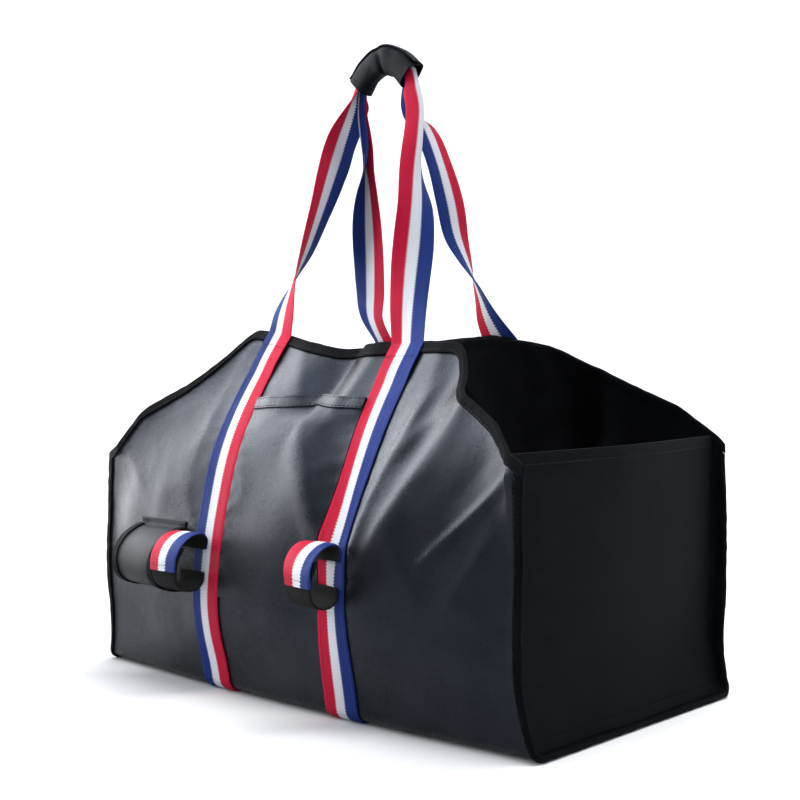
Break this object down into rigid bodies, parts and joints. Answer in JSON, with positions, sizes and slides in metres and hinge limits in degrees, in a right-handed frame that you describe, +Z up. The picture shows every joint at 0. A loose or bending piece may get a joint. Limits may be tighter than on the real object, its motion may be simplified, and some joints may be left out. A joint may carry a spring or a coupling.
{
  "type": "firewood bag",
  "caption": "Open-topped canvas firewood bag with low ends, striped webbing handles joined in a wrapped grip, a flat front pocket, a tool sleeve and hook-and-loop tool loops.",
  "frame": {"origin": "on the floor under the middle of the whole outline, tool loops included", "axes": "+X along the bag's length to the right of its front, +Y from the front to the back, +Z up"},
  "size_m": [0.5832, 0.4016, 0.65],
  "materials": {
    "canvas": "coated canvas with a satin sheen",
    "end_canvas": "matt coated canvas",
    "binding": "woven tape",
    "webbing": "woven webbing with red, white and blue stripes",
    "grip_wrap": "padded woven wrap",
    "hook_and_loop": "hook-and-loop pile"
  },
  "bodies": {
    "root": {"body_panel": "canvas", "end_panel_left": "end_canvas", "end_panel_right": "end_canvas", "seam_binding_left": "binding", "seam_binding_right": "binding", "rim_binding_front": "binding", "rim_binding_back": "binding", "front_webbing": "webbing", "back_webbing": "webbing", "grip": "grip_wrap", "front_pocket": "canvas", "tool_pouch": "canvas", "pouch_edge_left": "binding", "pouch_edge_right": "binding", "tool_loop_left": "webbing", "tool_loop_right": "webbing", "hook_strap_left": "hook_and_loop", "hook_strap_right": "hook_and_loop"}
  },
  "joints": []
}
